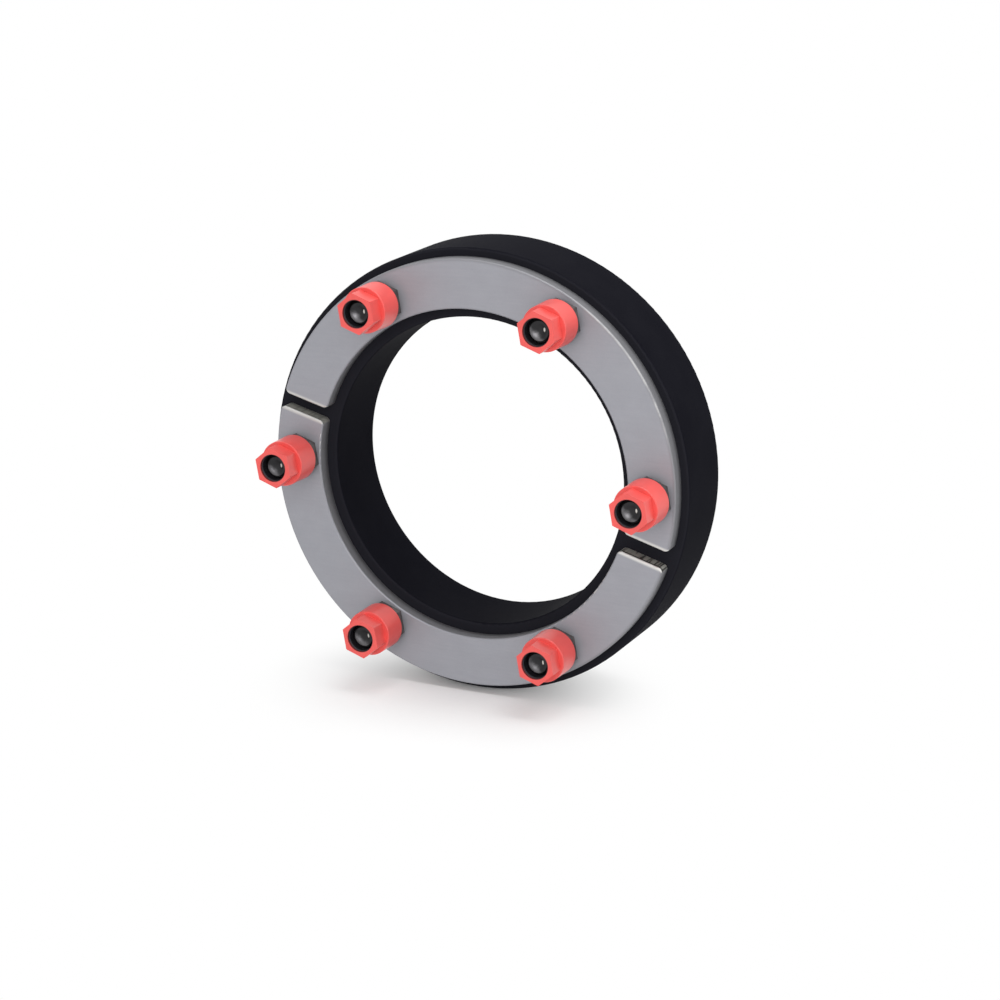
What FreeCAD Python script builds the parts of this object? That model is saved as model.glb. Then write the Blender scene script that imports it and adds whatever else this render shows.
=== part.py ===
import FreeCAD, Part
import math
import os

# Pipe penetration seal: a rubber ring between split steel pressure plates, drawn together by
# six bolts. Each bolt carries a steel nut whose long neck is covered by a plastic shear cap.
# Row frame in millimetres: the ring's axis is Y, the nuts face -Y, +Z is up, and the origin
# is the middle of the rubber ring.
# Every piece is drawn in a working frame first: its z runs out of the front of the seal, its
# x is the row's X and its y is the row's Z. place() turns a finished piece into the row frame.

# Opening in the wall, and the space all round between its wall and the pipe
core_hole_diameter = 150.0
core_hole_play = 1.0
annular_space = 24.2
pipe_play = 2.0

# Rubber ring
ring_width = 26.5
ring_edge_radius = 0.8
ring_bolt_play = 0.4

# Pressure plates: two halves in front and two behind
plate_thickness = 5.0
plate_outer_setback = 2.75
plate_inner_setback = 3.6
plate_corner_radius = 1.8
plate_edge_round = 0.5
plate_bolt_play = 1.0
right_gap = 5.9
right_gap_angle = -16.3
left_gap = 4.6
left_gap_angle = 164.7

# Bolts: a low round head, and a neck pressed into the rear plate so that the bolt can't turn
bolt_count = 6
bolt_diameter = 8.0
bolt_length = 52.6
bolt_tip_chamfer = 0.8
bolt_head_diameter = 13.0
bolt_head_height = 3.0
bolt_head_edge_radius = 0.8
bolt_neck_play = 0.1

# Nuts: a short hexagon on the plate, then a long neck with six smaller flats
nut_flats = 13.0
nut_base_height = 3.4
nut_neck_flats = 10.6
nut_thread_length = 9.0
nut_thread_play = 0.1
nut_mouth_diameter = 8.7
nut_mouth_chamfer = 0.3
hexagon_bevel_angle = 30.0

# Shear caps: a tapered sleeve on the nut's neck with a hexagon for the socket in front
cap_length = 15.2
cap_rear_diameter = 15.4
cap_shoulder_diameter = 15.1
cap_hexagon_flats = 11.9
cap_hexagon_length = 6.0
cap_hexagon_edge_radius = 0.35
cap_shoulder_edge_radius = 0.25
cap_lip_thickness = 0.7
cap_mouth_diameter = 9.2
cap_neck_play = 0.1
hexagon_turn_angle = 40.5

# Sizes that follow
pipe_diameter = core_hole_diameter - 2 * annular_space
ring_outer_radius = (core_hole_diameter - core_hole_play) / 2
ring_inner_radius = (pipe_diameter + pipe_play) / 2
plate_outer_radius = ring_outer_radius - plate_outer_setback
plate_inner_radius = ring_inner_radius + plate_inner_setback
bolt_circle_radius = (ring_outer_radius + ring_inner_radius) / 2
bolt_angles = [360.0 * i / bolt_count for i in range(bolt_count)]
front_seat = ring_width / 2 + plate_thickness
rear_seat = -front_seat
cap_rear = front_seat + nut_base_height
cap_front = cap_rear + cap_length
cap_shoulder = cap_front - cap_hexagon_length
neck_end = cap_front - cap_lip_thickness - cap_neck_play

tolerance = 1e-5
origin = FreeCAD.Vector(0, 0, 0)
outward = FreeCAD.Vector(0, 0, 1)
row_x = FreeCAD.Vector(1, 0, 0)


def place(shape):
    """Turn a piece from the working frame into the row frame."""
    placed = shape.copy()
    placed.rotate(origin, row_x, 90)
    return placed


def bolt_centre(angle, height):
    """Point on the bolt circle at an angle in degrees and a height along the ring's axis."""
    turn = math.radians(angle)
    return FreeCAD.Vector(bolt_circle_radius * math.cos(turn), bolt_circle_radius * math.sin(turn), height)


def cylinder(diameter, length, centre):
    """Cylinder that starts at a centre point and runs outward."""
    return Part.makeCylinder(diameter / 2, length, centre, outward)


def hexagon(flats, length, centre, turn):
    """Hexagonal prism across its flats, with one corner at the turn angle."""
    corner_radius = flats / math.sqrt(3)
    corners = []
    for i in range(7):
        angle = math.radians(turn + 60 * i)
        corner = FreeCAD.Vector(corner_radius * math.cos(angle), corner_radius * math.sin(angle), 0)
        corners.append(centre + corner)
    face = Part.Face(Part.makePolygon(corners))
    return face.extrude(outward * length)


def bevel_cone(flats, length, centre):
    """Cone whose far rim has the flats' diameter, used to bevel a hexagon's far corners."""
    far_radius = flats / 2
    near_radius = far_radius + length / math.tan(math.radians(hexagon_bevel_angle))
    return Part.makeCone(near_radius, far_radius, length, centre, outward)


def bolt_holes(play, start, length):
    """One clearance hole for each bolt, as tools to cut with."""
    tools = []
    for angle in bolt_angles:
        tools.append(cylinder(bolt_diameter + play, length, bolt_centre(angle, start)))
    return Part.makeCompound(tools)


def is_upright(edge):
    """True for a straight edge that runs along the ring's axis."""
    start = edge.Vertexes[0].Point
    end = edge.Vertexes[-1].Point
    return math.hypot(end.x - start.x, end.y - start.y) < tolerance and abs(end.z - start.z) > tolerance


def lies_at(edge, height):
    """True for an edge whose ends lie in the plane at a height."""
    return all(abs(vertex.Z - height) < tolerance for vertex in edge.Vertexes)


def is_circle(edge, diameter):
    """True for a circle of a diameter."""
    return edge.Curve.TypeId == "Part::GeomCircle" and abs(2 * edge.Curve.Radius - diameter) < tolerance


def rubber_ring():
    """Ring with rounded rims and a snug hole for each bolt."""
    rear = -ring_width / 2
    ring = cylinder(2 * ring_outer_radius, ring_width, FreeCAD.Vector(0, 0, rear))
    ring = ring.cut(cylinder(2 * ring_inner_radius, ring_width, FreeCAD.Vector(0, 0, rear)))
    rims = [edge for edge in ring.Edges if lies_at(edge, rear) or lies_at(edge, -rear)]
    ring = ring.makeFillet(ring_edge_radius, rims)
    return ring.cut(bolt_holes(ring_bolt_play, rear, ring_width))


def gap_bar(width, angle, rear):
    """Bar from the axis outwards at an angle, as wide as the gap that it cuts."""
    bar = Part.makeBox(2 * plate_outer_radius, width, plate_thickness, FreeCAD.Vector(0, -width / 2, rear))
    bar.rotate(origin, outward, angle)
    return bar


def plate_pair(side, rear, rounded_face):
    """Upper and lower half of a split plate. Side 1 is the front; side -1 is turned over."""
    base = FreeCAD.Vector(0, 0, rear)
    disc = cylinder(2 * plate_outer_radius, plate_thickness, base)
    disc = disc.cut(cylinder(2 * plate_inner_radius, plate_thickness, base))

    # The disc is turned so that the seams of its round walls fall in the right gap
    disc.rotate(origin, outward, side * right_gap_angle)
    right_bar = gap_bar(right_gap, side * right_gap_angle, rear)
    left_bar = gap_bar(left_gap, side * left_gap_angle, rear)
    halves = disc.cut(right_bar).cut(left_bar).Solids
    halves.sort(key=lambda half: half.CenterOfMass.y, reverse=True)
    return [finished_plate(half, rear, rounded_face) for half in halves]


def finished_plate(half, rear, rounded_face):
    """Half plate with rounded corners, a rounded outline on the face that shows, and holes."""
    corners = [edge for edge in half.Edges if is_upright(edge)]
    plate = half.makeFillet(plate_corner_radius, corners)
    outline = [edge for edge in plate.Edges if lies_at(edge, rounded_face)]
    plate = plate.makeFillet(plate_edge_round, outline)
    return plate.cut(bolt_holes(plate_bolt_play, rear, plate_thickness))


def bolt(angle):
    """Round-headed bolt: head behind the rear plate, neck in its hole, chamfered tip in the nut."""
    seat = bolt_centre(angle, rear_seat)
    shank = cylinder(bolt_diameter, bolt_length, seat)
    tip = rear_seat + bolt_length
    rim = [edge for edge in shank.Edges if lies_at(edge, tip)]
    shank = shank.makeChamfer(bolt_tip_chamfer, rim)

    head_back = bolt_centre(angle, rear_seat - bolt_head_height)
    head = cylinder(bolt_head_diameter, bolt_head_height, head_back)
    rim = [edge for edge in head.Edges if lies_at(edge, head_back.z)]
    head = head.makeFillet(bolt_head_edge_radius, rim)
    neck = cylinder(bolt_diameter + plate_bolt_play - bolt_neck_play, plate_thickness, seat)
    return shank.fuse(neck).fuse(head).removeSplitter()


def nut(angle):
    """Nut on the front plates: threaded hexagon base and a neck that opens to a wider mouth."""
    seat = bolt_centre(angle, front_seat)
    neck_length = neck_end - front_seat
    base = hexagon(nut_flats, nut_base_height, seat, hexagon_turn_angle)
    base = base.common(bevel_cone(nut_flats, nut_base_height, seat))
    body = base.fuse(hexagon(nut_neck_flats, neck_length, seat, hexagon_turn_angle)).removeSplitter()
    body = body.cut(cylinder(bolt_diameter + nut_thread_play, neck_length, seat))
    mouth_start = seat + outward * nut_thread_length
    body = body.cut(cylinder(nut_mouth_diameter, neck_length - nut_thread_length, mouth_start))
    rim = [edge for edge in body.Edges if is_circle(edge, nut_mouth_diameter) and lies_at(edge, neck_end)]
    return body.makeChamfer(nut_mouth_chamfer, rim)


def shear_cap(angle):
    """Cap on the nut's neck: tapered sleeve, six flats that end at shoulders, and a lip."""
    rear = bolt_centre(angle, cap_rear)
    shoulder = bolt_centre(angle, cap_shoulder)
    sleeve_length = cap_shoulder - cap_rear
    sleeve = Part.makeCone(cap_rear_diameter / 2, cap_shoulder_diameter / 2, sleeve_length, rear, outward)
    rim = [edge for edge in sleeve.Edges if lies_at(edge, cap_shoulder)]
    sleeve = sleeve.makeFillet(cap_shoulder_edge_radius, rim)

    drive = hexagon(cap_hexagon_flats, cap_hexagon_length, shoulder, hexagon_turn_angle)
    ridges = [edge for edge in drive.Edges if is_upright(edge)]
    drive = drive.makeFillet(cap_hexagon_edge_radius, ridges)
    body = sleeve.fuse(drive).removeSplitter()

    pocket_length = cap_length - cap_lip_thickness
    pocket = hexagon(nut_neck_flats + cap_neck_play, pocket_length, rear, hexagon_turn_angle)
    mouth = cylinder(cap_mouth_diameter, cap_length, rear)
    return body.cut(pocket).cut(mouth)


pieces = {"rubber_ring": rubber_ring()}
front_plates = plate_pair(1, front_seat - plate_thickness, front_seat)
rear_plates = plate_pair(-1, rear_seat, rear_seat)
pieces["front_plate_upper"], pieces["front_plate_lower"] = front_plates
pieces["rear_plate_upper"], pieces["rear_plate_lower"] = rear_plates
for number, angle in enumerate(bolt_angles, start=1):
    pieces["bolt_" + str(number)] = bolt(angle)
    pieces["nut_" + str(number)] = nut(angle)
    pieces["shear_cap_" + str(number)] = shear_cap(angle)

os.makedirs("parts", exist_ok=True)
for name, piece in pieces.items():
    place(piece).exportStep("parts/" + name + ".step")
    print(name, "solids", len(piece.Solids), "volume", round(piece.Volume, 1))
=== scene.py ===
import math

import bpy
import numpy as np
from bpy.props import FloatProperty, FloatVectorProperty, IntProperty, PointerProperty
from bpy.types import Operator, Panel, PropertyGroup
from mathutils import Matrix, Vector


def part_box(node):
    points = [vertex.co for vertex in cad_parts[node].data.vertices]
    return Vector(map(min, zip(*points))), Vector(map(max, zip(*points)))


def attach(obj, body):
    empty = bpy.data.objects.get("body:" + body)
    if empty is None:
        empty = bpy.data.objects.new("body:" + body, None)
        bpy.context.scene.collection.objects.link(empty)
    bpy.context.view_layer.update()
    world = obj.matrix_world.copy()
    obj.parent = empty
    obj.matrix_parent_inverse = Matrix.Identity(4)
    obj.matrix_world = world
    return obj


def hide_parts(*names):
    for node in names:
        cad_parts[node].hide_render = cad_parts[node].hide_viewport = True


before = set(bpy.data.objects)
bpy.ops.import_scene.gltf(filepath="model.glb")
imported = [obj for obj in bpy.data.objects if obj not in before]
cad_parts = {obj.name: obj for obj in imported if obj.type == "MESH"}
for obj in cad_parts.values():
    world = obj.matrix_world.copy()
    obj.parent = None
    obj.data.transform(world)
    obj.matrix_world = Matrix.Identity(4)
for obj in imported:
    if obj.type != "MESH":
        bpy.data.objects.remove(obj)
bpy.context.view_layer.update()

bl_info = {
    "name": "Pipe Penetration Seal",
    "version": (1, 0, 0),
    "blender": (4, 5, 0),
    "location": "3D View > Sidebar > Seal",
    "description": "Finishes a pipe penetration seal and sets it on a white floor",
    "category": "Object",
}

# The ring's axis is Y, the nuts face -Y and Z is up. Lengths are in metres.
BODY = "root"
SET_COUNT = 6
PLATE_NODES = ("front_plate_upper", "front_plate_lower", "rear_plate_upper", "rear_plate_lower")
RING_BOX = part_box("rubber_ring")
REAR_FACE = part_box("rear_plate_upper")[1].y
RUBBER_BACK = RING_BOX[1].y
PLATE_THICKNESS = REAR_FACE - RUBBER_BACK
PLATE_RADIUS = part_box("rear_plate_upper")[1].z
FLOOR_HEIGHT = RING_BOX[0].z
BOLT_CIRCLE = (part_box("bolt_1")[0].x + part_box("bolt_1")[1].x) / 2
MILLIMETRE = 0.001

# Height of a metric thread's triangle and depth of its cut, both over its pitch
THREAD_HEIGHT = math.sqrt(3) / 2
THREAD_DEPTH = 0.6134

# X and Z of directions from an axis: the side where the plates' faces take painted shade as they
# roll over the outer rim, the side of the painted highlight line along that rim, and the side
# towards which painted shade darkens a bolt's tip
RIM_SHADE_SIDE = (0.85, 0.5)
HIGHLIGHT_LINE_SIDE = (0.79, 0.61)
TIP_SHADE_SIDE = (0.6, 0.8)

# Ranges over which a mask runs from 0 to 1: the normal's part along Y on the faces of the ring and
# of the plates, the roundness of a plate's wall, the cosine of the angle to the middle of the
# painted highlight line, and how far towards its side the painted shade on a tip starts and is
# full
RING_FACE = (0.2, 0.9)
PLATE_FACE = (0.93, 0.995)
ROUND_WALL = (0.8, 0.97)
LINE_SPREAD = (0.91, 0.97)
TIP_SHADE_REACH = (-2.2 * MILLIMETRE, -0.4 * MILLIMETRE)

# Faces of a turned piece that meet at more than this show an edge
SHARP_ANGLE = math.radians(32)

# Each lamp: name, direction from the origin, distance and width, and the setting for its level
LAMPS = (
    ("key_lamp", (0.2, -0.95, 0.35), 1.6, 1.1, "key_level"),
    ("fill_lamp", (0.9, -0.4, 0.35), 1.4, 0.8, "fill_level"),
    ("top_lamp", (0.3, 0.05, 1.0), 1.5, 1.0, "top_level"),
)
WHITE = (1.0, 1.0, 1.0)

# The sensor's width is in millimetres. The floor reaches this far from the origin each way.
SENSOR_WIDTH = 36.0
FLOOR_REACH = 6.0


def node_names(kind):
    """The names of the six like nodes of a kind, such as nut_1 to nut_6."""
    return [f"{kind}_{number}" for number in range(1, SET_COUNT + 1)]


# Shader expressions


class Link:
    """A socket of a shader tree. Arithmetic on it adds Math nodes, so a mask is a formula."""

    def __init__(self, shader, socket):
        self.shader = shader
        self.socket = socket

    def math(self, operation, *terms):
        """One Math node on these terms, which are links or numbers."""
        return self.shader.node("ShaderNodeMath", {"operation": operation}, dict(enumerate(terms)))

    def __add__(self, other):
        return self.math("ADD", self, other)

    def __radd__(self, other):
        return self.math("ADD", other, self)

    def __sub__(self, other):
        return self.math("SUBTRACT", self, other)

    def __rsub__(self, other):
        return self.math("SUBTRACT", other, self)

    def __mul__(self, other):
        return self.math("MULTIPLY", self, other)

    def __rmul__(self, other):
        return self.math("MULTIPLY", other, self)

    def __abs__(self):
        return self.math("ABSOLUTE", self)


class Shader:
    """A node tree that is written as expressions."""

    def __init__(self, tree):
        self.tree = tree
        tree.nodes.clear()

    def node(self, kind, settings=None, inputs=None, output=0):
        """Add a node, set it up and fill its sockets with values or links. Return one output, if
        it has any."""
        made = self.tree.nodes.new(kind)
        for name, value in (settings or {}).items():
            setattr(made, name, value)
        for key, value in (inputs or {}).items():
            if isinstance(value, Link):
                self.tree.links.new(value.socket, made.inputs[key])
            else:
                made.inputs[key].default_value = value
        return Link(self, made.outputs[output]) if made.outputs else None

    def place(self):
        """The point on the surface, in metres in the row's frame."""
        return self.node("ShaderNodeTexCoord", output="Object")

    def parts(self, vector):
        """The X, Y and Z of a vector."""
        split = self.node("ShaderNodeSeparateXYZ", inputs={0: vector}).socket.node
        return [Link(self, socket) for socket in split.outputs]

    def from_bolt(self):
        """X, Z and distance from the axis of the nearest bolt. The point's angle round the ring,
        rounded to a sixth of a turn, is that bolt's."""
        x, _, z = self.parts(self.place())
        sixth = 2 * math.pi / SET_COUNT
        nearest = x.math("ROUND", x.math("ARCTAN2", z, x) * (1 / sixth)) * sixth
        across = x - BOLT_CIRCLE * x.math("COSINE", nearest)
        up = z - BOLT_CIRCLE * x.math("SINE", nearest)
        return across, up, x.math("SQRT", across * across + up * up)

    def roundness(self, normal):
        """1 where a wall or its edge runs round the ring, and 0 where it runs in or out, as the
        end of a half plate does: the normal's part along the radius, over its part in the ring's
        plane."""
        x, _, z = self.parts(self.place())
        normal_x, _, normal_z = self.parts(normal)
        lengths = x.math("SQRT", (x * x + z * z) * (normal_x * normal_x + normal_z * normal_z))
        return abs(x.math("DIVIDE", normal_x * x + normal_z * z, lengths))

    def noise(self, size, detail=2.0, stretch=None):
        """Noise from 0 to 1 whose blots are about this size. A stretch below 1 draws them out
        along that axis."""
        point = self.place()
        if stretch:
            point = self.node("ShaderNodeMapping", inputs={"Vector": point, "Scale": stretch})
        inputs = {"Vector": point, "Scale": 1 / size, "Detail": detail}
        return self.node("ShaderNodeTexNoise", inputs=inputs)

    def step(self, value, low, high):
        """Smooth step that is 0 below low and 1 above high. With low above high it runs the
        other way."""
        settings = {"interpolation_type": "SMOOTHSTEP"}
        return self.node("ShaderNodeMapRange", settings, {0: value, 1: low, 2: high})

    def mix(self, factor, first, second):
        """Colour that runs from a first to a second one as the factor goes from 0 to 1."""
        settings = {"data_type": "RGBA"}
        return self.node("ShaderNodeMix", settings, {0: factor, 6: first, 7: second}, output=2)

    def bump(self, height, depth):
        """Normal of a surface that is raised by a height from 0 to 1, times a depth in metres."""
        return self.node("ShaderNodeBump", inputs={"Height": height, "Distance": depth})

    def surface(self, inputs):
        """Principled surface that ends the tree."""
        shown = self.node("ShaderNodeBsdfPrincipled", inputs=inputs)
        self.node("ShaderNodeOutputMaterial", inputs={"Surface": shown})


def new_material(name):
    """An empty material and the shader that writes its tree."""
    material = bpy.data.materials.new(name)
    material.use_nodes = True
    return material, Shader(material.node_tree)


def tint(colour, level=1.0):
    """A property's colour times a level, as the four numbers of a colour socket."""
    return (*(level * channel for channel in colour), 1.0)


def finish_nodes(names, material):
    """Give CAD nodes a finish in place of their plain one."""
    for name in names:
        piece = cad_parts[name]
        piece.data.materials.clear()
        piece.data.materials.append(material)


# Materials


def ring_rubber(settings):
    """Matt black moulded rubber: front and back faces lighter as painted light, faint clouds and
    specks of talc, a fine grain.
    """
    material, shader = new_material("ring_rubber")
    bloom = shader.noise(settings.bloom_size, detail=3.0)
    grain = shader.noise(settings.grain_size, detail=3.0)
    specks = shader.step(shader.noise(settings.grain_size * 2.5), 0.68, 0.76)
    normal = shader.node("ShaderNodeNewGeometry", output="Normal")
    # Painted light: the ring's front and back take a lighter colour than its walls.
    is_face = shader.step(abs(shader.parts(normal)[1]), *RING_FACE)
    base = shader.mix(is_face, tint(settings.colour), tint(settings.face_colour))
    clouds = shader.step(bloom, 0.3, 0.7) * 0.3
    dusted = shader.mix(clouds + specks * 0.15, base, tint(settings.talc_colour))
    shader.surface({
        "Base Color": dusted,
        "Roughness": 0.55 + 0.2 * bloom + 0.1 * grain,
        "Specular IOR Level": settings.sheen,
        "Normal": shader.bump(grain, settings.grain_depth),
    })
    return material


def from_ends(shader, settings, is_right):
    """Distance from the nearest end of a half plate, in metres: the distance from the middle line
    of the gap on this side, less half the gap. The rear plates are turned over, so there Z runs
    the other way."""
    x, y, z = shader.parts(shader.place())
    z = z * y.math("SIGN", 0 - y)
    distances = []
    for width, angle in ((settings.left_gap, settings.left_gap_angle),
                         (settings.right_gap, settings.right_gap_angle)):
        across = z * math.cos(angle) - x * math.sin(angle)
        distances.append(abs(across) - width / 2)
    left, right = distances
    return left + (right - left) * is_right


def sawn_end(shader, settings, depth, depth_shade, is_right):
    """Colour of a half plate's sawn end, and its streaks. They run straight through the plate and
    are coarse on the right, a dark line lies just under the edge, and painted shade darkens the
    end towards the rubber, more on the left."""
    streaks = shader.noise(settings.streak_pitch, detail=2.0, stretch=(1.0, 0.06, 1.0))
    streaked = shader.step(streaks, 0.4, 0.54)
    coarse = 0.3 + 0.7 * is_right
    dark_streaks = (1 - streaked) * coarse
    sawn = shader.mix(dark_streaks, tint(settings.end_colour), tint(settings.end_colour, 0.18))
    # Painted shade towards the rubber.
    sawn = shader.mix(depth_shade * (0.5 - 0.4 * is_right), sawn, tint(settings.end_colour, 0.2))
    under_edge = shader.step(depth, 3 * settings.edge_width, 2 * settings.edge_width)
    return shader.mix(under_edge * coarse, sawn, tint(settings.end_colour, 0.1)), streaked


def highlight_line(shader, settings, radius, blots):
    """1 on the broken painted highlight line along the edge of the rim on the upper right: near
    the line's circle, where the direction from the axis is near that line's side, and broken up by
    the blots."""
    x, _, z = shader.parts(shader.place())
    towards = x.math("DIVIDE", HIGHLIGHT_LINE_SIDE[0] * x + HIGHLIGHT_LINE_SIDE[1] * z, radius)
    from_line = abs(radius - (PLATE_RADIUS - settings.line_setback))
    is_highlight_line = shader.step(from_line, settings.line_width, 0.4 * settings.line_width)
    return is_highlight_line * shader.step(towards, *LINE_SPREAD) * shader.step(blots, 0.3, 0.62)


def plate_steel(settings):
    """Rolled stainless steel: a faintly mottled satin face with painted shade on its soft outer
    rim, turned round walls and sawn ends darkened towards the rubber as painted shade, and pale
    edges that are partly bright broken metal and partly painted highlight."""
    material, shader = new_material("plate_steel")
    normal = shader.node("ShaderNodeNewGeometry", output="Normal")
    is_face = shader.step(abs(shader.parts(normal)[1]), *PLATE_FACE)
    is_round = shader.step(shader.roundness(normal), *ROUND_WALL)
    x, y, z = shader.parts(shader.place())
    depth = REAR_FACE - abs(y)
    radius = x.math("SQRT", x * x + z * z)
    is_right = shader.step(x, -MILLIMETRE, MILLIMETRE)

    # Face: soft blots, a fine grain and faint rolling lines, and painted shade where it rolls over
    # the outer rim at the top and on the right
    blots = shader.noise(settings.blot_size, detail=4.0)
    grain = shader.noise(settings.grain_size, detail=3.0)
    lines = shader.noise(settings.grain_size * 2, detail=2.0, stretch=(0.08, 1.0, 1.0))
    tone = 0.45 * blots + 0.3 * grain + 0.25 * lines
    face = shader.mix(tone, tint(settings.face_colour, 0.84), tint(settings.face_colour, 1.16))
    # The rolled mask carries painted shade along the outer rim.
    rolled = shader.step(radius, PLATE_RADIUS - settings.rim_width, PLATE_RADIUS)
    towards = RIM_SHADE_SIDE[0] * x + RIM_SHADE_SIDE[1] * z
    rolled = rolled * shader.step(towards, -0.3 * PLATE_RADIUS, 0.2 * PLATE_RADIUS)
    face = shader.mix(rolled * 0.55, face, tint(settings.wall_colour))

    # Round walls: turned smooth, with painted shade that darkens them towards the rubber
    turned = shader.noise(settings.cut_pitch, detail=2.0, stretch=(0.3, 1.0, 0.3))
    wall = shader.mix(turned, tint(settings.wall_colour, 0.8), tint(settings.wall_colour, 1.2))
    depth_shade = shader.step(depth, 0.45 * PLATE_THICKNESS, PLATE_THICKNESS)
    wall = shader.mix(depth_shade, wall, tint(settings.wall_colour, 0.5))

    sawn, streaked = sawn_end(shader, settings, depth, depth_shade, is_right)
    wall = shader.mix(is_round, sawn, wall)

    # The broken edge is pale at the ends, partly bright broken metal and partly painted highlight,
    # and a strip of the face along each end is a painted highlight
    is_edge = shader.step(depth, 1.05 * settings.edge_width, 0.7 * settings.edge_width)
    is_edge = is_edge * (1 - is_face)
    rim = shader.mix(rolled, tint(settings.face_colour, 0.9), tint(settings.wall_colour, 1.35))
    from_end = from_ends(shader, settings, is_right)
    strip = shader.step(from_end, settings.highlight_strip_width, 0.4 * settings.highlight_strip_width)
    colour = shader.mix(is_face, wall, face)
    colour = shader.mix(is_edge, colour, rim)
    is_pale_or_highlit = strip * is_face + is_edge * (1 - is_round)
    is_highlight_line = highlight_line(shader, settings, radius, blots)
    is_pale_or_highlit = is_pale_or_highlit + 0.5 * is_highlight_line * (is_face + is_edge)
    pale = shader.mix(is_right, tint(settings.edge_and_highlight_colour), tint(settings.edge_and_highlight_colour, 1.15))
    colour = shader.mix(is_pale_or_highlit, colour, pale)
    relief = streaked * (1 - is_face) * (1 - is_round) + 0.15 * grain
    shader.surface({
        "Base Color": colour,
        "Metallic": 0.3 + 0.15 * is_face + 0.2 * is_edge,
        "Roughness": 0.5 + 0.1 * blots,
        "Normal": shader.bump(relief, settings.cut_depth),
    })
    return material


def bolt_steel(settings):
    """Plated steel that has dulled, with a paler head; the thread and tip are darker as painted
    shade, and the tip takes more painted shade and a painted glint.
    """
    material, shader = new_material("bolt_steel")
    dulled = shader.noise(settings.stain_size, detail=4.0)
    grain = shader.noise(settings.stain_size / 8, detail=2.0)
    is_front = shader.step(shader.parts(shader.place())[1], MILLIMETRE, -MILLIMETRE)
    across, up, _ = shader.from_bolt()
    # The oily mask is painted shade: the tip darkens except at its lower left rim.
    towards = TIP_SHADE_SIDE[0] * across + TIP_SHADE_SIDE[1] * up + (dulled - 0.5) * (3 * MILLIMETRE)
    oily = shader.step(towards, *TIP_SHADE_REACH)
    plated = shader.mix(is_front, tint(settings.head_colour), tint(settings.colour))
    plated = shader.mix(dulled * (0.5 + 0.25 * is_front), plated, tint(settings.oil_and_shade_colour))
    colour = shader.mix(oily * is_front * 0.85, plated, tint(settings.oil_and_shade_colour))

    # Painted glint: an upright ellipse, its set width from its middle to its side and twice that
    # to its top
    glint_across = across - settings.glint_place[0]
    glint_up = (up - settings.glint_place[1]) * 0.5
    spot = across.math("SQRT", glint_across * glint_across + glint_up * glint_up)
    is_glint = is_front * shader.step(spot, settings.glint_width, settings.glint_width * 0.4)
    shader.surface({
        "Base Color": shader.mix(is_glint, colour, tint(settings.glint_colour)),
        "Metallic": 0.8,
        "Roughness": 0.22 + 0.25 * dulled,
        "Normal": shader.bump(grain, 0.01 * MILLIMETRE),
    })
    return material


def nut_steel(settings):
    """Dark phosphated steel with rubbed patches, near black inside the bore as painted shade."""
    material, shader = new_material("nut_steel")
    coat = shader.noise(settings.patch_size, detail=4.0)
    grain = shader.noise(settings.patch_size / 10, detail=2.0)
    rubbed = shader.step(coat, 0.5, 0.68)
    outside = shader.mix(rubbed, tint(settings.colour), tint(settings.colour, 1.7))
    distance = shader.from_bolt()[2]
    # Painted shade inside the bore.
    is_shaded_bore = shader.step(distance, settings.bore_radius + 0.3 * MILLIMETRE, settings.bore_radius)
    shader.surface({
        "Base Color": shader.mix(is_shaded_bore, outside, tint(settings.bore_shade_colour)),
        "Metallic": 0.7,
        "Roughness": 0.42 + 0.2 * coat,
        "Normal": shader.bump(grain, 0.015 * MILLIMETRE),
    })
    return material


def cap_plastic(settings):
    """Red moulded plastic: faint flow clouds, the soft grain of the mould and painted shade on the
    mouth's wall.
    """
    material, shader = new_material("cap_plastic")
    flow = shader.noise(settings.flow_size, detail=2.0, stretch=(1.0, 0.4, 1.0))
    grain = shader.noise(settings.grain_size, detail=2.0)
    clouds = shader.step(flow, 0.3, 0.7)
    moulded = shader.mix(clouds, tint(settings.colour, 0.95), tint(settings.colour, 1.03))
    distance = shader.from_bolt()[2]
    # Painted shade on the mouth's wall.
    is_shaded_lip = shader.step(distance, settings.lip_radius + 0.2 * MILLIMETRE, settings.lip_radius)
    shader.surface({
        "Base Color": shader.mix(is_shaded_lip, moulded, tint(settings.colour, 0.25)),
        "Roughness": 0.3 + 0.12 * flow,
        "Specular IOR Level": settings.gloss,
        "Normal": shader.bump(grain, settings.grain_depth),
    })
    return material


# Turned shapes


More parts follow.
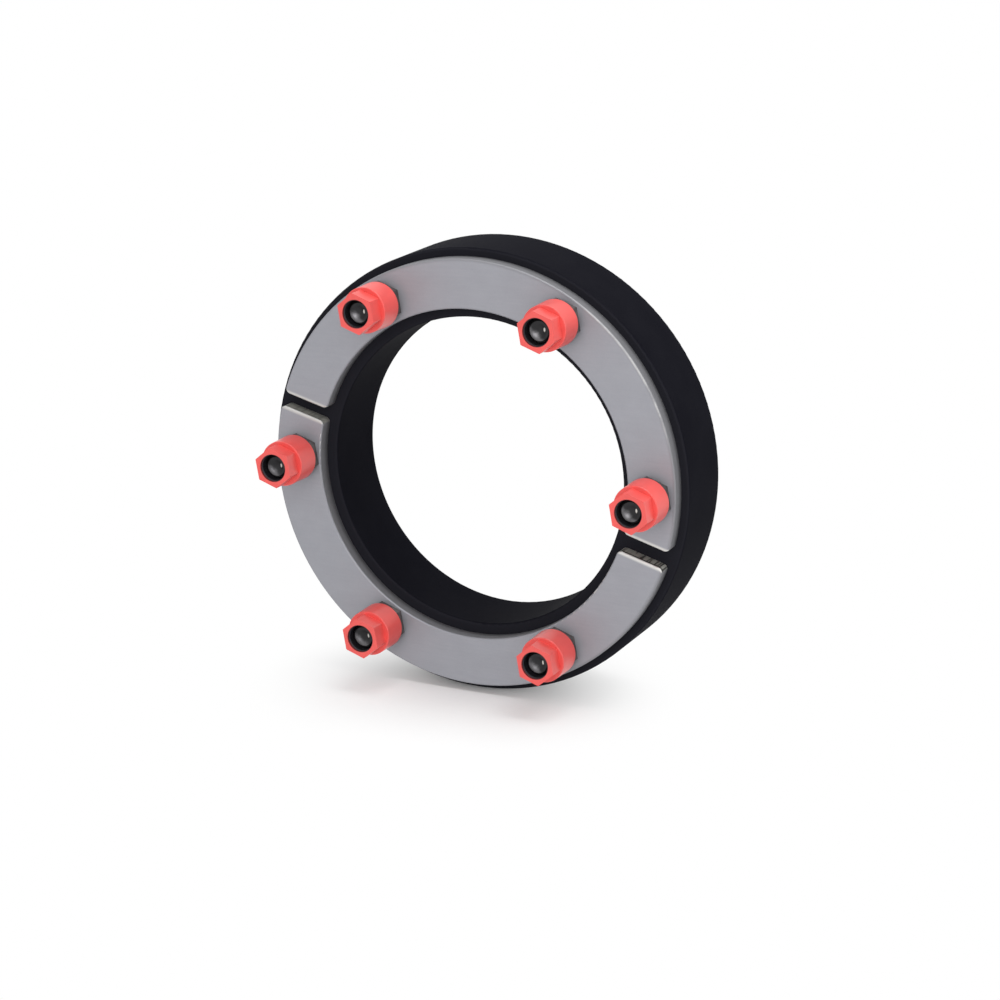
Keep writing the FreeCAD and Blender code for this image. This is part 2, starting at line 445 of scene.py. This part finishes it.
def turned_piece(name, radii, heights, centre):
    """A closed mesh whose rows run round a line along Y. Row i, column j stands at radius
    radii[i, j] from the line and at Y heights[i, j]; the first and last rows close to a pole."""
    rows, columns = radii.shape
    angles = np.linspace(0.0, 2 * np.pi, columns, endpoint=False)
    points = np.stack([
        centre.x + radii * np.cos(angles),
        heights,
        centre.z + radii * np.sin(angles),
    ], axis=-1).reshape(-1, 3)
    poles = np.array([
        [centre.x, heights[0, 0], centre.z],
        [centre.x, heights[-1, 0], centre.z],
    ])
    vertices = np.concatenate([points, poles])

    row, column = np.meshgrid(np.arange(rows - 1), np.arange(columns), indexing="ij")
    beside = (column + 1) % columns
    corner = row * columns
    quads = np.stack([
        corner + column,
        corner + columns + column,
        corner + columns + beside,
        corner + beside,
    ], axis=-1).reshape(-1, 4)
    around = np.arange(columns)
    ahead = (around + 1) % columns
    last = (rows - 1) * columns
    first_fan = np.stack([np.full(columns, rows * columns), around, ahead], axis=-1)
    last_fan = np.stack([
        np.full(columns, rows * columns + 1), last + ahead, last + around,
    ], axis=-1)

    mesh = bpy.data.meshes.new(name)
    faces = quads.tolist() + first_fan.tolist() + last_fan.tolist()
    mesh.from_pydata(vertices.tolist(), [], faces)
    mesh.validate()
    mesh.shade_smooth()
    mesh.set_sharp_from_angle(angle=SHARP_ANGLE)
    piece = bpy.data.objects.new(name, mesh)
    bpy.context.scene.collection.objects.link(piece)
    return piece


def thread_radius(settings, turns):
    """Radius of the thread at a number of turns: a 60 degree V, which is a triangle wave whose
    crest is cut off at an eighth of its height and whose root at the thread's depth."""
    wave = 2 * np.abs(np.mod(turns, 1.0) - 0.5)
    height = settings.thread_pitch * THREAD_HEIGHT
    cut = np.clip(wave * height - height / 8, 0.0, settings.thread_pitch * THREAD_DEPTH)
    return settings.diameter / 2 - cut


def bolt_shape(settings):
    """Radii and heights of a bolt's rows, from the middle of the head to the middle of the tip.
    Head: a flat back, a quarter circle round the rim, the bearing face and the pressed neck.
    Thread: a helix that runs in over one pitch, cut off by the cone of the tip.
    Tip: a flat rim round a hollow whose depth falls off with the square of the radius."""
    low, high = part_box("bolt_1")
    angles = np.linspace(0.0, 2 * np.pi, settings.columns, endpoint=False)
    shank = settings.diameter / 2
    neck = settings.neck_diameter / 2
    head = settings.head_diameter / 2
    edge = settings.head_edge_radius

    rim = np.linspace(0.0, np.pi / 2, settings.rim_rows)
    head_radii = np.concatenate([
        [head / 2],
        head - edge + edge * np.sin(rim),
        [head, neck, neck, shank],
    ])
    head_heights = np.concatenate([
        [high.y],
        high.y - edge + edge * np.cos(rim),
        [REAR_FACE, REAR_FACE, RUBBER_BACK, RUBBER_BACK],
    ])

    row_count = int(settings.thread_length / settings.thread_pitch * settings.rows_per_pitch)
    thread_heights = np.linspace(low.y + settings.thread_length, low.y, row_count)
    from_tip = thread_heights[:, None] - low.y
    run_in = np.minimum(1.0, (settings.thread_length - from_tip) / settings.thread_pitch)
    turns = from_tip / settings.thread_pitch - angles / (2 * np.pi)
    thread = shank + (thread_radius(settings, turns) - shank) * run_in
    thread = np.minimum(thread, shank - settings.tip_chamfer + from_tip)

    tip_radii = np.linspace(settings.hollow_diameter / 2, 0.0, settings.rim_rows, endpoint=False)
    hollow = 1 - (2 * tip_radii / settings.hollow_diameter) ** 2
    tip_heights = low.y + settings.hollow_depth * hollow

    round_row = np.ones(settings.columns)
    radii = np.concatenate([
        head_radii[:, None] * round_row,
        thread,
        tip_radii[:, None] * round_row,
    ])
    heights = np.concatenate([head_heights, thread_heights, tip_heights])
    return radii, heights[:, None] * round_row


# Settings


class RingSettings(PropertyGroup):
    """Finish of the rubber ring."""

    colour: FloatVectorProperty(
        name="Rubber", description="Colour of the rubber", subtype="COLOR", size=3,
        min=0.0, max=1.0, default=(0.0042, 0.0042, 0.0072),
    )
    # Painted light: the ring's front and back are lighter than the rubber.
    face_colour: FloatVectorProperty(
        name="Faces", description="Colour of the ring's front and back, where talc has stayed",
        subtype="COLOR", size=3, min=0.0, max=1.0, default=(0.0135, 0.0135, 0.0175),
    )
    talc_colour: FloatVectorProperty(
        name="Talc", description="Colour of the clouds and specks of talc", subtype="COLOR",
        size=3, min=0.0, max=1.0, default=(0.014, 0.014, 0.018),
    )
    sheen: FloatProperty(
        name="Sheen", description="Strength of the rubber's reflections",
        default=0.018, min=0.0, max=1.0,
    )
    bloom_size: FloatProperty(
        name="Bloom size", description="Size of the cloudy patches", unit="LENGTH", default=0.018,
    )
    grain_size: FloatProperty(
        name="Grain size", description="Size of the moulded grain", unit="LENGTH", default=0.0005,
    )
    grain_depth: FloatProperty(
        name="Grain depth", description="Depth of the moulded grain", unit="LENGTH",
        default=0.00004,
    )


class PlateSettings(PropertyGroup):
    """Finish of the four half plates."""

    face_colour: FloatVectorProperty(
        name="Face", description="Colour of the rolled face", subtype="COLOR", size=3,
        min=0.0, max=1.0, default=(0.297, 0.302, 0.331),
    )
    # Edge: partly the bright broken metal of the ends, partly painted highlight, paler on the
    # right.
    edge_and_highlight_colour: FloatVectorProperty(
        name="Edge", description="Colour of the pale edge at the plates' ends", subtype="COLOR",
        size=3, min=0.0, max=1.0, default=(0.51, 0.51, 0.495),
    )
    wall_colour: FloatVectorProperty(
        name="Round wall", description="Colour of the round walls", subtype="COLOR", size=3,
        min=0.0, max=1.0, default=(0.165, 0.165, 0.176),
    )
    end_colour: FloatVectorProperty(
        name="Sawn end", description="Colour of the sawn ends", subtype="COLOR", size=3,
        min=0.0, max=1.0, default=(0.36, 0.358, 0.33),
    )
    edge_width: FloatProperty(
        name="Edge width", description="Width of the broken edge", unit="LENGTH", default=0.0005,
    )
    blot_size: FloatProperty(
        name="Blot size", description="Size of the blots on the face", unit="LENGTH",
        default=0.006,
    )
    grain_size: FloatProperty(
        name="Grain size", description="Size of the face's grain", unit="LENGTH", default=0.0004,
    )
    cut_pitch: FloatProperty(
        name="Cut pitch", description="Distance between streaks on the walls", unit="LENGTH",
        default=0.0006,
    )
    streak_pitch: FloatProperty(
        name="Streak pitch", description="Distance between the saw's streaks", unit="LENGTH",
        default=0.0009,
    )
    # The strip along each end is a painted highlight.
    highlight_strip_width: FloatProperty(
        name="Strip width", description="Width of the rubbed strip along an end", unit="LENGTH",
        default=0.0014,
    )
    # The line along the outer rim is a painted highlight.
    line_setback: FloatProperty(
        name="Line setback", description="From the outer rim to the rubbed line", unit="LENGTH",
        default=0.0004,
    )
    line_width: FloatProperty(
        name="Line width", description="From the rubbed line's middle to its side", unit="LENGTH",
        default=0.0004,
    )
    # Painted shade: the face darkens over this width along the outer rim.
    rim_width: FloatProperty(
        name="Rim width", description="Width over which the face rolls over the outer rim",
        unit="LENGTH", default=0.0013,
    )
    left_gap: FloatProperty(
        name="Left gap", description="Width of the gap between the left ends", unit="LENGTH",
        default=0.0046,
    )
    left_gap_angle: FloatProperty(
        name="Left gap angle", description="Turn of the left gap", subtype="ANGLE",
        default=math.radians(164.7),
    )
    right_gap: FloatProperty(
        name="Right gap", description="Width of the gap between the right ends", unit="LENGTH",
        default=0.0059,
    )
    right_gap_angle: FloatProperty(
        name="Right gap angle", description="Turn of the right gap", subtype="ANGLE",
        default=math.radians(-16.3),
    )
    cut_depth: FloatProperty(
        name="Cut depth", description="Depth of the streaks", unit="LENGTH", default=0.00005,
    )


class BoltSettings(PropertyGroup):
    """Shape and finish of the six bolts."""

    diameter: FloatProperty(
        name="Diameter", description="Outside diameter of the thread", unit="LENGTH",
        default=0.008,
    )
    neck_diameter: FloatProperty(
        name="Neck diameter", description="Diameter in the rear plate's hole", unit="LENGTH",
        default=0.0089,
    )
    head_diameter: FloatProperty(
        name="Head diameter", description="Diameter of the round head", unit="LENGTH",
        default=0.013,
    )
    head_edge_radius: FloatProperty(
        name="Head edge", description="Round of the head's rim", unit="LENGTH", default=0.0008,
    )
    rim_rows: IntProperty(
        name="Rim rows", description="Faces across the head's rim, and across the hollow",
        default=6, min=2,
    )
    thread_length: FloatProperty(
        name="Thread length", description="Length of the thread from the tip", unit="LENGTH",
        default=0.022,
    )
    thread_pitch: FloatProperty(
        name="Thread pitch", description="Height of one turn", unit="LENGTH", default=0.00125,
    )
    tip_chamfer: FloatProperty(
        name="Tip chamfer", description="Bevel of the tip", unit="LENGTH", default=0.0008,
    )
    hollow_diameter: FloatProperty(
        name="Hollow diameter", description="Width of the hollow in the tip", unit="LENGTH",
        default=0.005,
    )
    hollow_depth: FloatProperty(
        name="Hollow depth", description="Depth of the hollow in the tip", unit="LENGTH",
        default=0.0006,
    )
    columns: IntProperty(
        name="Columns", description="Faces round the bolt", default=72, min=12,
    )
    rows_per_pitch: IntProperty(
        name="Rows per turn", description="Faces along one turn of the thread", default=12, min=4,
    )
    # Painted shade: the thread and tip are darker than the head.
    colour: FloatVectorProperty(
        name="Thread", description="Colour of the thread and the tip", subtype="COLOR", size=3,
        min=0.0, max=1.0, default=(0.19, 0.185, 0.195),
    )
    head_colour: FloatVectorProperty(
        name="Head", description="Colour of the plated head", subtype="COLOR", size=3,
        min=0.0, max=1.0, default=(0.34, 0.34, 0.35),
    )
    # Oil: the dulled patches' colour, and the painted shade on the tip.
    oil_and_shade_colour: FloatVectorProperty(
        name="Oil", description="Colour of the oily film", subtype="COLOR", size=3,
        min=0.0, max=1.0, default=(0.012, 0.012, 0.013),
    )
    # Painted glint on the tip.
    glint_colour: FloatVectorProperty(
        name="Spot", description="Colour of the rubbed spot on the tip", subtype="COLOR", size=3,
        min=0.0, max=1.0, default=(0.95, 0.92, 0.85),
    )
    glint_place: FloatVectorProperty(
        name="Spot place", description="Rubbed spot, across and up from the bolt's axis", size=2,
        unit="LENGTH", default=(0.0017, 0.0005),
    )
    glint_width: FloatProperty(
        name="Spot width", description="From the rubbed spot's middle to its side", unit="LENGTH",
        default=0.00045,
    )
    stain_size: FloatProperty(
        name="Stain size", description="Size of the dulled patches", unit="LENGTH", default=0.0025,
    )


class NutSettings(PropertyGroup):
    """Finish of the six nuts."""

    colour: FloatVectorProperty(
        name="Steel", description="Colour of the dark steel", subtype="COLOR", size=3,
        min=0.0, max=1.0, default=(0.098, 0.09, 0.088),
    )
    # Bore: painted shade inside the nut's bore.
    bore_shade_colour: FloatVectorProperty(
        name="Bore", description="Colour of the oily bore", subtype="COLOR", size=3,
        min=0.0, max=1.0, default=(0.032, 0.03, 0.036),
    )
    bore_radius: FloatProperty(
        name="Bore radius", description="Radius inside which the oil lies", unit="LENGTH",
        default=0.0046,
    )
    patch_size: FloatProperty(
        name="Patch size", description="Size of the rubbed patches", unit="LENGTH", default=0.003,
    )


class CapSettings(PropertyGroup):
    """Finish of the six shear caps."""

    colour: FloatVectorProperty(
        name="Plastic", description="Colour of the plastic", subtype="COLOR", size=3,
        min=0.0, max=1.0, default=(0.715, 0.073, 0.064),
    )
    # The mouth's wall inside this radius takes painted shade.
    lip_radius: FloatProperty(
        name="Lip radius", description="Radius of the mouth, whose wall is oily", unit="LENGTH",
        default=0.0046,
    )
    gloss: FloatProperty(
        name="Gloss", description="Strength of the plastic's reflections",
        default=0.65, min=0.0, max=1.0,
    )
    flow_size: FloatProperty(
        name="Flow size", description="Size of the clouds in the plastic", unit="LENGTH",
        default=0.004,
    )
    grain_size: FloatProperty(
        name="Grain size", description="Size of the mould's grain", unit="LENGTH", default=0.0003,
    )
    grain_depth: FloatProperty(
        name="Grain depth", description="Depth of the mould's grain", unit="LENGTH",
        default=0.00001,
    )


class StageSettings(PropertyGroup):
    """Camera, floor and lamps."""

    azimuth: FloatProperty(
        name="Azimuth", description="Turn of the camera to the right", subtype="ANGLE",
        default=math.radians(24.93),
    )
    elevation: FloatProperty(
        name="Elevation", description="Rise of the camera above the horizon", subtype="ANGLE",
        default=math.radians(16.18),
    )
    distance: FloatProperty(
        name="Distance", description="From the camera to its target", unit="LENGTH",
        default=0.8995,
    )
    target: FloatVectorProperty(
        name="Target", description="Point in the middle of the picture", subtype="TRANSLATION",
        size=3, unit="LENGTH", default=(0.0097, -0.01611, -0.00742),
    )
    lens: FloatProperty(
        name="Lens", description="Focal length in millimetres on a 36 mm sensor", default=99.41,
    )
    room_level: FloatProperty(
        name="Room light", description="Level of the light from all round", default=0.54, min=0.0,
    )
    key_level: FloatProperty(
        name="Key light", description="Level that the key lamp adds on a white face",
        default=0.45, min=0.0,
    )
    fill_level: FloatProperty(
        name="Fill light", description="Level that the fill lamp adds on a white face",
        default=0.09, min=0.0,
    )
    top_level: FloatProperty(
        name="Top light", description="Level that the top lamp adds on a white face",
        default=0.78, min=0.0,
    )
    floor_middle: FloatVectorProperty(
        name="Floor middle", description="Middle of the shadow that the floor keeps", size=2,
        unit="LENGTH", default=(-0.002, -0.022),
    )
    floor_far: FloatProperty(
        name="Floor far", description="From that middle to where the floor is plain white",
        unit="LENGTH", default=0.076,
    )


# Operators


class SEAL_OT_finish_ring(Operator):
    """Give the rubber ring its moulded black finish"""

    bl_idname = "seal.finish_ring"
    bl_label = "Finish rubber ring"

    def execute(self, context):
        finish_nodes(["rubber_ring"], ring_rubber(context.scene.seal_ring))
        return {"FINISHED"}


class SEAL_OT_finish_plates(Operator):
    """Give the half plates their rolled faces, pale edges and cut walls"""

    bl_idname = "seal.finish_plates"
    bl_label = "Finish pressure plates"

    def execute(self, context):
        finish_nodes(PLATE_NODES, plate_steel(context.scene.seal_plates))
        return {"FINISHED"}


class SEAL_OT_add_bolts(Operator):
    """Put a threaded bolt in the place of each plain one"""

    bl_idname = "seal.add_bolts"
    bl_label = "Add threaded bolts"

    def execute(self, context):
        settings = context.scene.seal_bolts
        material = bolt_steel(settings)
        radii, heights = bolt_shape(settings)
        for name in node_names("bolt"):
            low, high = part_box(name)
            piece = turned_piece("threaded_" + name, radii, heights, (low + high) / 2)
            piece.data.materials.append(material)
            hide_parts(name)
            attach(piece, BODY)
        return {"FINISHED"}


class SEAL_OT_finish_nuts(Operator):
    """Give the nuts their dark steel finish"""

    bl_idname = "seal.finish_nuts"
    bl_label = "Finish nuts"

    def execute(self, context):
        finish_nodes(node_names("nut"), nut_steel(context.scene.seal_nuts))
        return {"FINISHED"}


class SEAL_OT_finish_caps(Operator):
    """Give the shear caps their red plastic finish"""

    bl_idname = "seal.finish_caps"
    bl_label = "Finish shear caps"

    def execute(self, context):
        finish_nodes(node_names("shear_cap"), cap_plastic(context.scene.seal_caps))
        return {"FINISHED"}


def seen_by_camera(shader):
    """1 for rays from the camera and those that gloss or glass sends on, and 0 for the rest."""
    path = shader.node("ShaderNodeLightPath").socket.node
    kinds = ("Camera", "Glossy", "Transmission")
    seen, glossy, through = (Link(shader, path.outputs[f"Is {kind} Ray"]) for kind in kinds)
    return seen.math("MAXIMUM", seen.math("MAXIMUM", seen, glossy), through)


def add_camera(settings):
    """Camera that looks at the target from the azimuth and elevation, level with the horizon."""
    data = bpy.data.cameras.new("camera")
    data.sensor_width = SENSOR_WIDTH
    data.lens = settings.lens
    camera = bpy.data.objects.new("camera", data)
    flat = math.cos(settings.elevation)
    back = Vector((
        math.sin(settings.azimuth) * flat,
        -math.cos(settings.azimuth) * flat,
        math.sin(settings.elevation),
    ))
    camera.location = Vector(settings.target) + back * settings.distance
    camera.rotation_euler = (-back).to_track_quat("-Z", "Y").to_euler()
    bpy.context.scene.collection.objects.link(camera)
    bpy.context.scene.camera = camera


def add_lamp(name, direction, distance, size, level):
    """Square lamp that looks at the origin. A white face turned to it shows at the level: its
    power is the level times pi squared times the distance squared."""
    data = bpy.data.lights.new(name, "AREA")
    data.size = size
    data.energy = level * (math.pi * distance) ** 2
    lamp = bpy.data.objects.new(name, data)
    towards = Vector(direction).normalized()
    lamp.location = towards * distance
    lamp.rotation_euler = towards.to_track_quat("Z", "Y").to_euler()
    bpy.context.scene.collection.objects.link(lamp)


def add_room(settings):
    """Light from all round, which the camera and reflections see as plain white."""
    world = bpy.data.worlds.new("white_room")
    world.use_nodes = True
    shader = Shader(world.node_tree)
    level = settings.room_level + (1 - settings.room_level) * seen_by_camera(shader)
    light = shader.node("ShaderNodeBackground", inputs={"Color": tint(WHITE), "Strength": level})
    shader.node("ShaderNodeOutputWorld", inputs={"Surface": light})
    bpy.context.scene.world = world


def add_floor(settings):
    """White floor that keeps the seal's shadow and turns plain white further off. Reflections see
    it as plain white."""
    mesh = bpy.data.meshes.new("floor")
    corners = [(-1, -1), (1, -1), (1, 1), (-1, 1)]
    points = [(FLOOR_REACH * x, FLOOR_REACH * y, FLOOR_HEIGHT) for x, y in corners]
    mesh.from_pydata(points, [], [(0, 1, 2, 3)])
    floor = bpy.data.objects.new("floor", mesh)
    material, shader = new_material("floor_white")
    paper = shader.noise(0.002, detail=3.0)
    white = shader.mix(paper, tint(WHITE, 0.82), tint(WHITE, 0.84))
    lit = shader.node("ShaderNodeBsdfDiffuse", inputs={"Color": white})
    plain = shader.node("ShaderNodeEmission")
    x, y, _ = shader.parts(shader.place())
    x = x - settings.floor_middle[0]
    y = y - settings.floor_middle[1]
    far = shader.step(x.math("SQRT", x * x + y * y), 0.0, settings.floor_far)
    mirrored = shader.node("ShaderNodeLightPath", output="Is Glossy Ray")
    is_plain = x.math("MAXIMUM", far * seen_by_camera(shader), mirrored)
    shown = shader.node("ShaderNodeMixShader", inputs={0: is_plain, 1: lit, 2: plain})
    shader.node("ShaderNodeOutputMaterial", inputs={"Surface": shown})
    mesh.materials.append(material)
    bpy.context.scene.collection.objects.link(floor)


class SEAL_OT_set_stage(Operator):
    """Set up the camera, the white floor and the lamps"""

    bl_idname = "seal.set_stage"
    bl_label = "Set the stage"

    def execute(self, context):
        settings = context.scene.seal_stage
        add_camera(settings)
        add_room(settings)
        add_floor(settings)
        for name, direction, distance, size, level in LAMPS:
            add_lamp(name, direction, distance, size, getattr(settings, level))
        context.scene.view_settings.view_transform = "Standard"
        return {"FINISHED"}


# Panel and registration

STEPS = (
    ("seal_ring", SEAL_OT_finish_ring),
    ("seal_plates", SEAL_OT_finish_plates),
    ("seal_bolts", SEAL_OT_add_bolts),
    ("seal_nuts", SEAL_OT_finish_nuts),
    ("seal_caps", SEAL_OT_finish_caps),
    ("seal_stage", SEAL_OT_set_stage),
)
SETTINGS = {
    "seal_ring": RingSettings,
    "seal_plates": PlateSettings,
    "seal_bolts": BoltSettings,
    "seal_nuts": NutSettings,
    "seal_caps": CapSettings,
    "seal_stage": StageSettings,
}


class SEAL_PT_panel(Panel):
    """Settings and steps of the pipe penetration seal"""

    bl_label = "Pipe Penetration Seal"
    bl_idname = "SEAL_PT_panel"
    bl_space_type = "VIEW_3D"
    bl_region_type = "UI"
    bl_category = "Seal"

    def draw(self, context):
        for group, operator in STEPS:
            box = self.layout.box()
            settings = getattr(context.scene, group)
            for name in SETTINGS[group].__annotations__:
                box.prop(settings, name)
            box.operator(operator.bl_idname)


CLASSES = (*SETTINGS.values(), *(operator for _, operator in STEPS), SEAL_PT_panel)


def register():
    """Register the classes and hang each group of settings on the scene."""
    for kind in CLASSES:
        bpy.utils.register_class(kind)
    for group, kind in SETTINGS.items():
        setattr(bpy.types.Scene, group, PointerProperty(type=kind))


def unregister():
    """Take away what register() has made."""
    for group in SETTINGS:
        delattr(bpy.types.Scene, group)
    for kind in reversed(CLASSES):
        bpy.utils.unregister_class(kind)


def main():
    """Dress the seal step by step and set it on its stage."""
    register()
    bpy.ops.seal.finish_ring()
    bpy.ops.seal.finish_plates()
    bpy.ops.seal.add_bolts()
    bpy.ops.seal.finish_nuts()
    bpy.ops.seal.finish_caps()
    bpy.ops.seal.set_stage()


if __name__ == "__main__":
    main()
